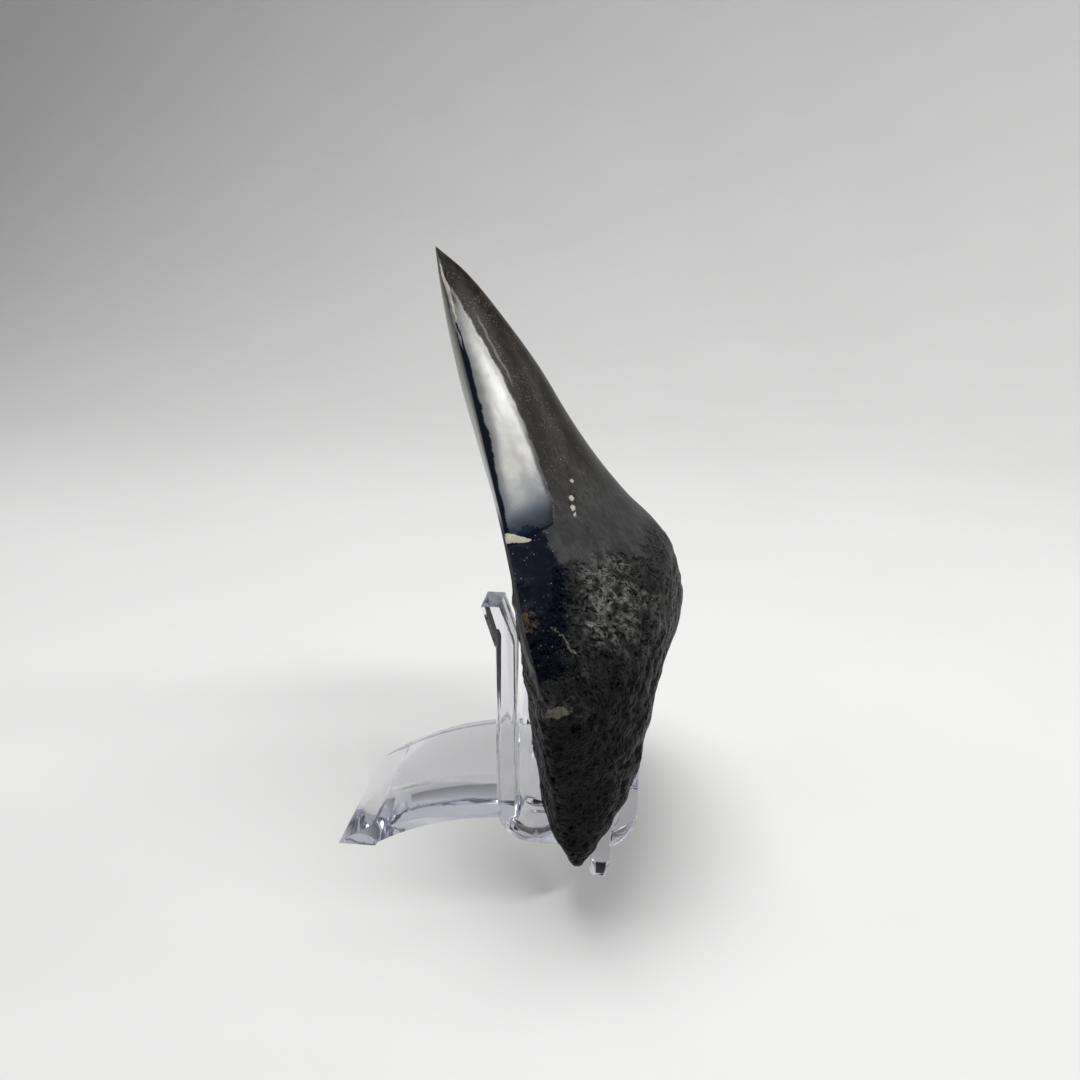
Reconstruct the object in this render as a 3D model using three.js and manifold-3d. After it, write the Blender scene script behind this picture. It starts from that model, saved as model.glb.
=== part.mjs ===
// Megalodon tooth leaning on its one-piece clear plastic stand.
// Millimetres, +Z up. The stand's foot is behind the tooth, toward -X, and the hooks
// that hold the root are in front, toward +X. Y runs across the tooth.
import * as THREE from 'three';
import { mergeVertices } from 'three/addons/utils/BufferGeometryUtils.js';
import createManifold from 'manifold-3d';

const manifold = await createManifold();
manifold.setup();

// ---------------------------------------------------------------- driving dimensions
// Tooth: its own axes are "height" from root to tip, "across" from side to side and
// "depth" from the flat labial face (0) to the bulging lingual face.
const TOOTH_HEIGHT = 128;
const LEAN_BACK = THREE.MathUtils.degToRad(13.7);
const TOOTH_FOOT_X = 13.87;
const TOOTH_FOOT_Z = 10;

// Sections of the tooth, from the outer ends of the root lobes up to the tip.
// half: half width; edge: depth of the side edge; labial and lingual: depth of each
// face; boss: what the swelling in the middle of the root adds to the lingual face;
// square: fullness across; round: 0.5 is a round side edge, 1 a sharp cutting edge.
const SECTIONS = [
  { height: 3, half: 40.5, edge: 5.2, labial: -2.6, lingual: 10.2, boss: 9, square: 2.8, round: 0.5 },
  { height: 16, half: 43.5, edge: 5.8, labial: -2.4, lingual: 21.8, boss: 9.5, square: 3, round: 0.5 },
  { height: 27, half: 46.5, edge: 7.2, labial: -1.2, lingual: 28.6, boss: 6.5, square: 2.5, round: 0.52 },
  { height: 37, half: 48.2, edge: 8.4, labial: -0.2, lingual: 33, boss: 3, square: 2.1, round: 0.58 },
  { height: 46, half: 47.6, edge: 8.2, labial: 0.1, lingual: 34.6, boss: 0.8, square: 1.9, round: 0.68 },
  { height: 54, half: 43.6, edge: 7.4, labial: 0.6, lingual: 32.6, boss: 0, square: 1.8, round: 0.8 },
  { height: 62, half: 37.4, edge: 6.6, labial: 0.7, lingual: 28.4, boss: 0, square: 1.8, round: 0.9 },
  { height: 74, half: 29, edge: 5.3, labial: 0.1, lingual: 23.3, boss: 0, square: 1.8, round: 1 },
  { height: 86, half: 21.8, edge: 4, labial: -1, lingual: 19.2, boss: 0, square: 1.8, round: 1 },
  { height: 98, half: 15.3, edge: 2.9, labial: -1.7, lingual: 15.5, boss: 0, square: 1.9, round: 1 },
  { height: 111, half: 8.7, edge: 1.5, labial: -1.5, lingual: 10.2, boss: 0, square: 2, round: 1 },
  { height: 121, half: 3.9, edge: 0.5, labial: -0.8, lingual: 5.2, boss: 0, square: 2, round: 1 },
  { height: TOOTH_HEIGHT, half: 0, edge: 0, labial: 0, lingual: 0, boss: 0, square: 2, round: 1 },
];
const ROOT_END_HEIGHT = SECTIONS[0].height;
const ROOT_ARCH = 29; // how far the middle of the root rises above its lobes
const LOBE_CENTRE = 34.5; // half the distance between the two lobe ends
const LOBE_DROP = 6; // how far a lobe end hangs below the root's outer corner
const ARCH_FADE = 3; // how fast the root's arch dies out going up the tooth
const BOSS_HALF_WIDTH = 17;
const ROOT_EDGE_DEPTH = 3.8; // depth of the line along the underside of the root
const ROOT_EDGE_ROUNDING = 12; // height over which the underside rounds into the faces
const ACROSS_STEPS = 34;
const HEIGHT_STEPS = 42;

// Stand: one moulding, an arched foot plate that joins two J-shaped bars.
const BAR_THICKNESS = 3.8;
const BAR_INNER_Y = 17.2;
const BAR_OUTER_Y = 26.4;
const UPRIGHT_BACK_X = -0.45;
const UPRIGHT_BEND_Z = 54;
const UPRIGHT_TOP_Z = 62.9;
const UPRIGHT_TILT = THREE.MathUtils.degToRad(18);
const ARM_BOTTOM_Z = 7.4;
const BEND_OUTER_RADIUS = 8;
const HOOK_FRONT_X = 30.2;
const HOOK_TOP_Z = 22.1;
const PEG_X = 22.3;
const PEG_WIDTH = 4.2;
const PEG_CORNER = 1.4;
const PLATE_HALF_WIDTH = 20.5;
const PLATE_THICKNESS = 4.5;
const PLATE_RADIUS = 66.9;
const PLATE_CREST_X = 2;
const PLATE_CREST_Z = 14.1;
const FOOT_TIP_X = -39.1;
const FOOT_LENGTH = 8.8;
const WEB_FRONT_X = 15;
const WEB_FRONT_TOP_Z = 10.2;
const CHIP_SIZE = 1.5;
const ARC_STEPS = 12;

// ---------------------------------------------------------------- materials
function enamelAndRoot() {
  return new THREE.MeshStandardMaterial({ color: 0x24211f, roughness: 0.45, metalness: 0 });
}

function clearPlastic() {
  return new THREE.MeshStandardMaterial({
    color: 0xe6e6f2,
    roughness: 0.05,
    metalness: 0,
    transparent: true,
    opacity: 0.35,
  });
}

// ---------------------------------------------------------------- tooth
// One dimension of the section at a height, as a smooth curve through the SECTIONS.
function sectionValue(key, height) {
  const last = SECTIONS.length - 1;
  let i = 0;
  while (i < last - 1 && height > SECTIONS[i + 1].height) i += 1;
  const a = SECTIONS[i];
  const b = SECTIONS[i + 1];
  const before = SECTIONS[Math.max(i - 1, 0)];
  const after = SECTIONS[Math.min(i + 2, last)];
  const span = b.height - a.height;
  const slopeA = ((b[key] - before[key]) / (b.height - before.height)) * span;
  const slopeB = ((after[key] - a[key]) / (after.height - a.height)) * span;
  const t = (height - a.height) / span;
  const t2 = t * t;
  const t3 = t2 * t;
  return (2 * t3 - 3 * t2 + 1) * a[key] + (t3 - 2 * t2 + t) * slopeA
    + (3 * t2 - 2 * t3) * b[key] + (t3 - t2) * slopeB;
}

// Height of the root's lower outline at a distance from the midline: an arch in the
// middle, the two lobe ends, and a round outer corner.
function rootOutline(distance) {
  const lobeEnd = ROOT_END_HEIGHT - LOBE_DROP;
  if (distance < LOBE_CENTRE) {
    return lobeEnd + ROOT_ARCH * Math.cos((Math.PI / 2) * (distance / LOBE_CENTRE)) ** 2;
  }
  const beyond = (distance - LOBE_CENTRE) / (SECTIONS[0].half - LOBE_CENTRE);
  return lobeEnd + LOBE_DROP * beyond ** 2;
}

// A point of the tooth in its own axes. side is -1 to 1 across, rise is 0 on the root's
// lower outline and 1 at the tip, face is -1 on the labial face and 1 on the lingual.
function toothPoint(side, rise, face) {
  const edgeHeight = THREE.MathUtils.lerp(ROOT_END_HEIGHT, TOOTH_HEIGHT, rise);
  const half = Math.max(sectionValue('half', edgeHeight), 0);
  const arch = rootOutline(Math.abs(side) * SECTIONS[0].half) - ROOT_END_HEIGHT;
  const height = edgeHeight + arch * (1 - rise) ** ARCH_FADE;

  const edge = sectionValue('edge', edgeHeight);
  const middle = sectionValue(face < 0 ? 'labial' : 'lingual', edgeHeight);
  const square = sectionValue('square', edgeHeight);
  const round = sectionValue('round', edgeHeight);
  const fullness = Math.max(1 - Math.abs(side) ** square, 0) ** round;
  const swelling = Math.exp(-((side * half / BOSS_HALF_WIDTH) ** 2));
  const boss = face < 0 ? 0 : sectionValue('boss', edgeHeight) * swelling;
  const faceDepth = edge + (middle + boss - edge) * fullness;

  const fromRoot = Math.min((edgeHeight - ROOT_END_HEIGHT) / ROOT_EDGE_ROUNDING, 1);
  const rounding = Math.sqrt(1 - (1 - fromRoot) ** 2);
  const depth = THREE.MathUtils.lerp(ROOT_EDGE_DEPTH, faceDepth, rounding);
  return new THREE.Vector3(depth, side * half, height);
}

// Both faces are grids of the same points across and up, and they share their edges.
function toothGeometry() {
  const positions = [];
  const grid = (face, i, j) => {
    const side = Math.sin((Math.PI / 2) * ((2 * i) / ACROSS_STEPS - 1));
    const rise = (j / HEIGHT_STEPS) ** 1.25;
    return toothPoint(side, rise, face);
  };
  const triangle = (a, b, c) => positions.push(...a.toArray(), ...b.toArray(), ...c.toArray());
  for (const face of [-1, 1]) {
    for (let i = 0; i < ACROSS_STEPS; i += 1) {
      for (let j = 0; j < HEIGHT_STEPS; j += 1) {
        const low = [grid(face, i, j), grid(face, i + 1, j)];
        const high = [grid(face, i, j + 1), grid(face, i + 1, j + 1)];
        if (face > 0) {
          triangle(low[0], low[1], high[1]);
          triangle(low[0], high[1], high[0]);
        } else {
          triangle(low[0], high[1], low[1]);
          triangle(low[0], high[0], high[1]);
        }
      }
    }
  }
  const geometry = new THREE.BufferGeometry();
  geometry.setAttribute('position', new THREE.Float32BufferAttribute(positions, 3));
  return withoutFlatTriangles(mergeVertices(geometry, 1e-3));
}

// Drops the triangles that closed up where the two faces meet.
function withoutFlatTriangles(geometry) {
  const kept = [];
  for (let i = 0; i < geometry.index.count; i += 3) {
    const [a, b, c] = [0, 1, 2].map((k) => geometry.index.getX(i + k));
    if (a !== b && b !== c && c !== a) kept.push(a, b, c);
  }
  geometry.setIndex(kept);
  geometry.computeVertexNormals();
  return geometry;
}

function makeTooth() {
  const tooth = new THREE.Mesh(toothGeometry(), enamelAndRoot());
  tooth.name = 'tooth';
  tooth.rotation.y = -LEAN_BACK;
  tooth.position.set(TOOTH_FOOT_X, 0, TOOTH_FOOT_Z);
  return tooth;
}

// ---------------------------------------------------------------- stand
// A solid from an outline in X and Z, extruded from one Y to another.
function extrudeAcross(outline, fromY, toY) {
  const geometry = new THREE.ExtrudeGeometry(outline, {
    depth: toY - fromY,
    bevelEnabled: false,
    curveSegments: ARC_STEPS,
  });
  geometry.rotateX(Math.PI / 2);
  geometry.translate(0, toY, 0);
  return toManifold(geometry);
}

function toManifold(geometry) {
  geometry.deleteAttribute('normal');
  geometry.deleteAttribute('uv');
  const merged = mergeVertices(geometry, 1e-4);
  return new manifold.Manifold(new manifold.Mesh({
    numProp: 3,
    vertProperties: new Float32Array(merged.attributes.position.array),
    triVerts: new Uint32Array(merged.index.array),
  }));
}

function toGeometry(solid) {
  const mesh = solid.getMesh();
  const geometry = new THREE.BufferGeometry();
  geometry.setAttribute('position', new THREE.BufferAttribute(mesh.vertProperties, 3));
  geometry.setIndex(new THREE.BufferAttribute(mesh.triVerts, 1));
  return geometry.toNonIndexed();
}

// The J seen from the side: upright with its top bent back, arm, and hook in front.
function barOutline() {
  const frontX = UPRIGHT_BACK_X + BAR_THICKNESS;
  const innerRadius = BEND_OUTER_RADIUS - BAR_THICKNESS;
  const bendZ = ARM_BOTTOM_Z + BEND_OUTER_RADIUS;
  const rearBendX = UPRIGHT_BACK_X + BEND_OUTER_RADIUS;
  const hookBendX = HOOK_FRONT_X - BEND_OUTER_RADIUS;
  const hookBackX = HOOK_FRONT_X - BAR_THICKNESS;
  const mitre = (BAR_THICKNESS / 2) * Math.tan(UPRIGHT_TILT / 2);
  const topShift = (UPRIGHT_TOP_Z - UPRIGHT_BEND_Z) * Math.tan(UPRIGHT_TILT);
  const outline = new THREE.Shape();
  outline.moveTo(UPRIGHT_BACK_X - topShift, UPRIGHT_TOP_Z);
  outline.lineTo(UPRIGHT_BACK_X, UPRIGHT_BEND_Z - mitre);
  outline.absarc(rearBendX, bendZ, BEND_OUTER_RADIUS, Math.PI, 1.5 * Math.PI, false);
  outline.absarc(hookBendX, bendZ, BEND_OUTER_RADIUS, 1.5 * Math.PI, 2 * Math.PI, false);
  outline.lineTo(HOOK_FRONT_X, HOOK_TOP_Z);
  outline.lineTo(hookBackX, HOOK_TOP_Z);
  outline.absarc(hookBendX, bendZ, innerRadius, 0, -Math.PI / 2, true);
  outline.absarc(rearBendX, bendZ, innerRadius, 1.5 * Math.PI, Math.PI, true);
  outline.lineTo(frontX, UPRIGHT_BEND_Z + mitre);
  outline.lineTo(frontX - topShift, UPRIGHT_TOP_Z);
  return outline;
}

// The short front foot under each arm, with rounded lower corners.
function pegOutline() {
  const left = PEG_X - PEG_WIDTH / 2;
  const right = PEG_X + PEG_WIDTH / 2;
  const top = ARM_BOTTOM_Z + BAR_THICKNESS / 2;
  const outline = new THREE.Shape();
  outline.moveTo(left, top);
  outline.absarc(left + PEG_CORNER, PEG_CORNER, PEG_CORNER, Math.PI, 1.5 * Math.PI, false);
  outline.absarc(right - PEG_CORNER, PEG_CORNER, PEG_CORNER, 1.5 * Math.PI, 2 * Math.PI, false);
  outline.lineTo(right, top);
  return outline;
}

// The arched rear leg: two concentric arcs, cut flat where it stands on its foot.
function plateOutline(endX) {
  const centreZ = PLATE_CREST_Z - PLATE_RADIUS;
  const innerRadius = PLATE_RADIUS - PLATE_THICKNESS;
  const arcZ = (x, radius) => centreZ + Math.sqrt(radius ** 2 - (x - PLATE_CREST_X) ** 2);
  const heelX = FOOT_TIP_X + FOOT_LENGTH;
  const steps = 2 * ARC_STEPS;
  const outline = new THREE.Shape();
  outline.moveTo(FOOT_TIP_X, 0);
  outline.lineTo(heelX, 0);
  for (let i = 1; i <= steps; i += 1) {
    const x = THREE.MathUtils.lerp(heelX, endX, i / steps);
    outline.lineTo(x, arcZ(x, innerRadius));
  }
  for (let i = 0; i < steps; i += 1) {
    const x = THREE.MathUtils.lerp(endX, FOOT_TIP_X, i / steps);
    outline.lineTo(x, arcZ(x, PLATE_RADIUS));
  }
  return outline;
}

// The plate's front end, which dips from the crest to just below the arms.
function webOutline() {
  const outline = new THREE.Shape();
  const bottom = PLATE_CREST_Z - PLATE_THICKNESS;
  const frontBottom = WEB_FRONT_TOP_Z - PLATE_THICKNESS + 1;
  const middleX = (PLATE_CREST_X + WEB_FRONT_X) / 2;
  outline.moveTo(0, bottom);
  outline.lineTo(PLATE_CREST_X, bottom);
  outline.quadraticCurveTo(middleX, bottom, WEB_FRONT_X, frontBottom);
  outline.lineTo(WEB_FRONT_X, WEB_FRONT_TOP_Z);
  outline.quadraticCurveTo(middleX, PLATE_CREST_Z, PLATE_CREST_X, PLATE_CREST_Z);
  outline.lineTo(0, PLATE_CREST_Z);
  return outline;
}

// A wedge that takes the rear corner off the near upright's top, broken in use.
function chippedCorner() {
  const tipX = UPRIGHT_BACK_X - (UPRIGHT_TOP_Z - UPRIGHT_BEND_Z) * Math.tan(UPRIGHT_TILT);
  const outline = new THREE.Shape();
  outline.moveTo(tipX - CHIP_SIZE, UPRIGHT_TOP_Z - 0.5 * CHIP_SIZE);
  outline.lineTo(tipX + CHIP_SIZE, UPRIGHT_TOP_Z + 0.5 * CHIP_SIZE);
  outline.lineTo(tipX - CHIP_SIZE, UPRIGHT_TOP_Z + CHIP_SIZE);
  return extrudeAcross(outline, -BAR_INNER_Y - CHIP_SIZE, -BAR_INNER_Y + CHIP_SIZE);
}

function makeStand() {
  const pieces = [
    extrudeAcross(plateOutline(PLATE_CREST_X - 1), -PLATE_HALF_WIDTH, PLATE_HALF_WIDTH),
    extrudeAcross(webOutline(), -BAR_INNER_Y - 0.5, BAR_INNER_Y + 0.5),
  ];
  for (const fromY of [-BAR_OUTER_Y, BAR_INNER_Y]) {
    const toY = fromY + BAR_OUTER_Y - BAR_INNER_Y;
    pieces.push(extrudeAcross(barOutline(), fromY, toY));
    pieces.push(extrudeAcross(pegOutline(), fromY, toY));
  }
  const moulding = manifold.Manifold.union(pieces).subtract(chippedCorner());
  const stand = new THREE.Mesh(toGeometry(moulding), clearPlastic());
  stand.name = 'stand';
  return stand;
}

// ---------------------------------------------------------------- the whole object
// Puts the origin at the bottom centre of the box around everything.
function centred(group) {
  group.updateMatrixWorld(true);
  const box = new THREE.Box3().setFromObject(group, true);
  const centre = box.getCenter(new THREE.Vector3());
  const shift = new THREE.Vector3(-centre.x, -centre.y, -box.min.z);
  for (const child of group.children) child.position.add(shift);
  return group;
}

const fossil = new THREE.Group();
fossil.name = 'megalodon_tooth_on_stand';
fossil.add(makeTooth(), makeStand());

export default centred(fossil);
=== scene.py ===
"""Looks of the fossil megalodon tooth and its clear stand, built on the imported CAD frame."""

import math

import bmesh
import bpy
import numpy as np
from mathutils import Matrix, Vector, noise


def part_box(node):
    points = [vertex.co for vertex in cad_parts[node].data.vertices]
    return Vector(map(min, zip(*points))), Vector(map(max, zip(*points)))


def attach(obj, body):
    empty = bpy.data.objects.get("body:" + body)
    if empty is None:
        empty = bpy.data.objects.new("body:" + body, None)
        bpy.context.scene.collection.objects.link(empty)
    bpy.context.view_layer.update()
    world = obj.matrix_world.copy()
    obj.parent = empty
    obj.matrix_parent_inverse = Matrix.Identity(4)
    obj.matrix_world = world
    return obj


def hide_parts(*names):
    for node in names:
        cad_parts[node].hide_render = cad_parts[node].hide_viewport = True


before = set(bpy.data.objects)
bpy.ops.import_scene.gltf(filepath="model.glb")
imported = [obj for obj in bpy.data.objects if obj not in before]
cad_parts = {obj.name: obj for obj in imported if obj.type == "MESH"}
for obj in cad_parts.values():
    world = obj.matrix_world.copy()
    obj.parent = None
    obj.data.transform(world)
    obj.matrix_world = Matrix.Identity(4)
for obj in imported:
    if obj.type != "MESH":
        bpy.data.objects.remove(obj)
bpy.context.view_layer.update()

MM = 0.001

# ------------------------------------------------------------------ tooth dimensions, mm
# The same construction as the CAD solid, with its axes height (root to tip), across and
# depth (0 on the flat labial face, growing towards the bulging lingual face).
TOOTH_HEIGHT = 128.0
LEAN_BACK = math.radians(13.7)
SECTION_KEYS = ("height", "half", "edge", "labial", "lingual", "boss", "square", "round")
SECTIONS = np.array([
    (3, 40.5, 5.2, -2.6, 10.2, 9.0, 2.8, 0.5),
    (16, 43.5, 5.8, -2.4, 21.8, 9.5, 3.0, 0.5),
    (27, 46.5, 7.2, -1.2, 28.6, 6.5, 2.5, 0.52),
    (37, 48.2, 8.4, -0.2, 33.0, 3.0, 2.1, 0.58),
    (46, 47.6, 8.2, 0.1, 34.6, 0.8, 1.9, 0.68),
    (54, 43.6, 7.4, 0.6, 32.6, 0.0, 1.8, 0.8),
    (62, 37.4, 6.6, 0.7, 28.4, 0.0, 1.8, 0.9),
    (74, 29.0, 5.3, 0.1, 23.3, 0.0, 1.8, 1.0),
    (86, 21.8, 4.0, -1.0, 19.2, 0.0, 1.8, 1.0),
    (98, 15.3, 2.9, -1.7, 15.5, 0.0, 1.9, 1.0),
    (111, 8.7, 1.5, -1.5, 10.2, 0.0, 2.0, 1.0),
    (121, 3.9, 0.5, -0.8, 5.2, 0.0, 2.0, 1.0),
    (TOOTH_HEIGHT, 0, 0, 0, 0, 0, 2.0, 1.0),
])
ROOT_END_HEIGHT = 3.0
ROOT_END_HALF = 40.5
ROOT_ARCH = 29.0
LOBE_CENTRE = 34.5
LOBE_DROP = 6.0
ARCH_FADE = 3
BOSS_HALF_WIDTH = 17.0
ROOT_EDGE_DEPTH = 3.8
ROOT_EDGE_ROUNDING = 12.0
ACROSS_STEPS = 176
HEIGHT_STEPS = 250

# ------------------------------------------------------------------ stand dimensions, mm
BAR_THICKNESS = 3.8
BAR_INNER_Y = 17.2
BAR_OUTER_Y = 26.4
UPRIGHT_BACK_X = -0.45
UPRIGHT_BEND_Z = 54.0
UPRIGHT_TOP_Z = 62.9
UPRIGHT_TILT = math.radians(18)
ARM_BOTTOM_Z = 7.4
BEND_OUTER_RADIUS = 8.0
HOOK_FRONT_X = 30.2
HOOK_TOP_Z = 22.1
PEG_X = 22.3
PEG_WIDTH = 4.2
PEG_CORNER = 1.4
PLATE_HALF_WIDTH = 20.5
PLATE_THICKNESS = 4.5
PLATE_RADIUS = 66.9
PLATE_CREST_X = 2.0
PLATE_CREST_Z = 14.1
FOOT_TIP_X = -39.1
FOOT_LENGTH = 8.8
WEB_FRONT_X = 15.0
WEB_FRONT_TOP_Z = 10.2
CHIP_SIZE = 1.5
EDGE_ROUNDING = 0.25
ARC_STEPS = 20

# Where the kinds of surface begin and end, mm up the tooth. Each pair starts with a height.
# In the INNER tables the share across where the kind begins follows, and in RIM_WIDTHS the
# width of the navy margin in mm, where a negative one means that there is none.
ENAMEL_FOOT = 68.5  # lower end of the polished enamel on the bulging face
ENAMEL_FOOT_RISE = 1.2
ENAMEL_INNER = ((50, 0.92), (66, 0.77), (73, 0.675), (84, 0.645), (100, 0.69), (113, 0.79),
                (118.5, 0.86), (119.5, 0.95), (128, 0.97))
BOURLETTE_FOOT = 45.0  # the bourlette is the dark glassy band between the enamel and the root
BOURLETTE_TOP = 69.5
BOURLETTE_INNER = ((44, 0.97), (48, 0.95), (54, 0.88), (60, 0.83), (66, 0.80), (72, 0.79))
RIM_WIDTHS = ((64, 0.8), (72, 0.8), (78, 0.5), (88, 1.0), (100, 0.6), (112, 0.0), (128, -0.5))
LABIAL_FOOT = 61.0  # lower end of the enamel in the middle of the flat face
LABIAL_FOOT_DROP = 12.0
LABIAL_FOOT_REACH = 45.0
LABIAL_ROOT_GAP = 1.5
ROOT_TOP = 58.5
ROOT_TOP_RISE = 5.0
ROOT_BELOW_BOURLETTE = 8.0
BOURLETTE_SHARES = (0.82, 0.95)
FAR_OUTSIDE = -9.0  # a field's value where there is none of its kind
BORDER_WANDER = {  # how far broad and fine noise move each border, mm
    "root": (3.4, 1.6),
    "bourlette": (2.0, 1.2),
    "enamel": (0.0, 0.22),
    "rim": (0.0, 0.30),
}
WELD_DISTANCE = 0.004

# Relief of the tooth: heights or depths of its features, and their sizes or spacings, mm.
# The radii of craters and pores are shares of their spacing.
LUMP_HEIGHT, LUMP_SIZE = 0.70, 9.0
GRAIN_HEIGHT, SHOULDER_GRAIN_HEIGHT, GRAIN_SIZE = 0.22, 0.45, 3.0
CRATER_DEPTH, CRATER_SPACING, CRATER_RADII = 0.75, 3.1, (0.10, 0.36)
PORE_DEPTH, PORE_SPACING, PORE_RADII = 0.42, 1.7, (0.14, 0.38)
FURROW_DEPTH, FURROW_SIZE, FURROW_STRETCH = 0.30, 2.6, 0.22
POROUS_PATCH_SIZE = 12.0
SHOULDER_RISE, SHOULDER_FADE = (34, 44), (58, 66)
WORN_RELIEF = 0.40  # the root's bulging middle is worn smoother than its shoulders
WORN_HALF_WIDTHS = (8.0, 26.0)
ROOT_RELIEF_FADE = (-1.5, 6.0)
CROWN_FADE = (-3.0, 0.0)
CROWN_RELIEF, CROWN_WAVE = 0.05, 14.0
EDGE_BITE, EDGE_BITE_SIZE = 0.28, 3.0
EDGES_APART = 50.0  # keeps the noise of the two cutting edges different
PALE_MARK_HEIGHT = 0.12

# How glossy each surface is, as a specular level.
TOOTH_GLOSS = (("enamel", 0.5), ("worn_dentine", 0.13), ("rough_root", 0.08),
               ("dark_glaze_and_shadow", 0.015))

# Hollows seen in the smooth surface: centre (depth, across, height), radii and depth.
DENTS = (
    ((20.7, -19.4, 64.8), (1.2, 1.2, 1.2), 0.45),
    ((18.1, -12.7, 76.7), (1.0, 0.8, 1.6), 0.25),
    ((18.5, -15.3, 72.9), (1.2, 1.0, 1.3), 0.30),
    ((18.0, -17.9, 70.6), (1.0, 0.9, 1.1), 0.30),
    ((18.8, -18.9, 67.9), (0.9, 0.8, 1.4), 0.30),
    ((1.8, -5.7, 116.5), (0.9, 0.7, 2.2), 0.35),
    ((7.4, -31.0, 70.6), (3.4, 1.6, 0.8), 0.45),
)

# Marks on the near side: centre, radii, all in mm in the same axes.
BROWN_STAIN = ((7.8, -41.9, 56.3), (2.6, 2.2, 3.8))
PALE_SPOT = ((10.6, -47.8, 38.8), (2.6, 1.8, 1.1))
SPECKS = (
    ((18.4, -16.7, 72.0), (0.8, 0.8, 0.75)),
    ((18.3, -17.9, 70.1), (0.7, 0.7, 0.6)),
    ((18.4, -18.9, 68.7), (0.5, 0.5, 0.45)),
    ((18.5, -13.4, 74.7), (0.9, 0.5, 0.45)),
)
# Streaks, each from one point to another, with its half width at both.
# The first streak is the cream chip; the other two are a painted highlight, a white strip along
# the near cutting edge below the tip.
CHIP_AND_HIGHLIGHT_STREAKS = (
    ((6.0, -31.2, 69.9), (10.7, -28.5, 67.8), 1.15, 0.15),
    ((0.4, -2.2, 124.0), (1.3, -4.5, 119.2), 0.12, 0.42),
    ((1.3, -4.5, 119.2), (2.2, -7.8, 112.0), 0.42, 0.12),
)
# The first dark streak is a painted shadow along the upper side of the raised cream chip; the
# others are dark lines near the tip and a crack on the flat face.
DARK_STREAKS = (
    ((5.9, -31.2, 71.6), (11.8, -28.3, 68.5), 0.50, 0.40),
    ((1.9, -6.1, 115.5), (2.6, -9.8, 108.5), 0.15, 0.30),
    ((2.6, -9.8, 108.5), (3.4, -12.6, 101.5), 0.30, 0.35),
    ((0.3, -10.4, 88.6), (2.0, -16.9, 75.3), 0.30, 0.34),
)
FAINT_STREAKS = (
    ((6.7, -15.4, 93.2), (7.6, -15.9, 91.0), 0.32, 0.22),
    ((11.8, -40.4, 53.6), (14.6, -41.2, 49.4), 0.20, 0.34),
    ((14.2, -41.0, 50.0), (15.5, -42.3, 47.2), 0.34, 0.18),
    ((10.4, -43.0, 51.0), (11.6, -44.4, 46.6), 0.50, 0.24),
)
STREAK_WANDER = 0.28

# ------------------------------------------------------------------ small helpers
def smooth_step(low, high, value):
    t = np.clip((value - low) / (high - low), 0.0, 1.0)
    return t * t * (3.0 - 2.0 * t)


def section_value(key, height):
    """One dimension of the section at each height, on a smooth curve through SECTIONS."""
    column = SECTION_KEYS.index(key)
    last = len(SECTIONS) - 1
    i = np.clip(np.searchsorted(SECTIONS[:, 0], height) - 1, 0, last - 1)
    a, b = SECTIONS[i], SECTIONS[i + 1]
    before, after = SECTIONS[np.maximum(i - 1, 0)], SECTIONS[np.minimum(i + 2, last)]
    span = b[..., 0] - a[..., 0]
    slope_a = (b[..., column] - before[..., column]) / (b[..., 0] - before[..., 0]) * span
    slope_b = (after[..., column] - a[..., column]) / (after[..., 0] - a[..., 0]) * span
    t = (height - a[..., 0]) / span
    return ((2 * t**3 - 3 * t**2 + 1) * a[..., column] + (t**3 - 2 * t**2 + t) * slope_a
            + (3 * t**2 - 2 * t**3) * b[..., column] + (t**3 - t**2) * slope_b)


def root_outline(distance):
    """Height of the root's lower outline at a distance from the midline."""
    lobe_end = ROOT_END_HEIGHT - LOBE_DROP
    inner = ROOT_ARCH * np.cos(np.pi / 2 * np.minimum(distance / LOBE_CENTRE, 1.0)) ** 2
    beyond = np.maximum(distance - LOBE_CENTRE, 0.0) / (ROOT_END_HALF - LOBE_CENTRE)
    return lobe_end + inner + LOBE_DROP * beyond**2


def fbm(points, size, octaves=4, seed=0.0):
    """Fractal noise of about -1 to 1 at each point, with the given feature size in mm."""
    offset = Vector((seed, 2.3 * seed, -1.7 * seed))
    values = [noise.fractal(Vector(p) / size + offset, 0.9, 2.0, octaves) for p in points]
    return np.array(values)


def pits(points, size, seed=0.0):
    """Distance from each point to the nearest of scattered centres, in units of size."""
    offset = Vector((seed, -seed, 1.9 * seed))
    return np.array([noise.voronoi(Vector(p) / size + offset)[0][0] for p in points])


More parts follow.
